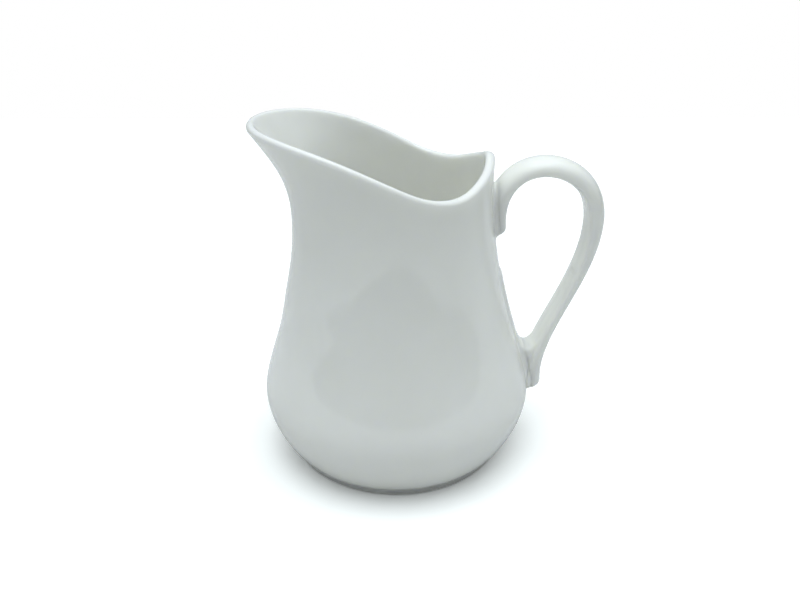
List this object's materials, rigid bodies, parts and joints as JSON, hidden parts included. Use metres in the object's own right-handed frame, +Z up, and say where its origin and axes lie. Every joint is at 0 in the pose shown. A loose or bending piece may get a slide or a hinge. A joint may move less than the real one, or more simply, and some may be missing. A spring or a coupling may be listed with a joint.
{
  "type": "ceramic pitcher",
  "caption": "White glazed porcelain pitcher with a rounded belly, a lip that sweeps up into a flared spout, and a looped strap handle.",
  "frame": {"origin": "on the resting plane, in the middle of the overall footprint of body, spout and handle; the vessel's own axis is at x = -13.95 mm, y = 0", "axes": "+Z up out of the mouth, +X towards the handle, -X towards the spout, Y across; the plane y = 0 is the mirror plane"},
  "size_m": [0.1478, 0.12, 0.1501],
  "materials": {
    "body_glaze": "clear glossy glaze over white porcelain",
    "handle_glaze": "clear glossy glaze over white porcelain",
    "joint_glaze": "glossy glaze pooled a little thicker in the joint",
    "bare_porcelain": "unglazed, fine matt, slightly warm white"
  },
  "bodies": {
    "root": {"body_shell": "body_glaze", "foot_ring": "bare_porcelain", "handle": "handle_glaze", "upper_slip_joint": "joint_glaze", "lower_slip_joint": "joint_glaze"}
  },
  "joints": []
}
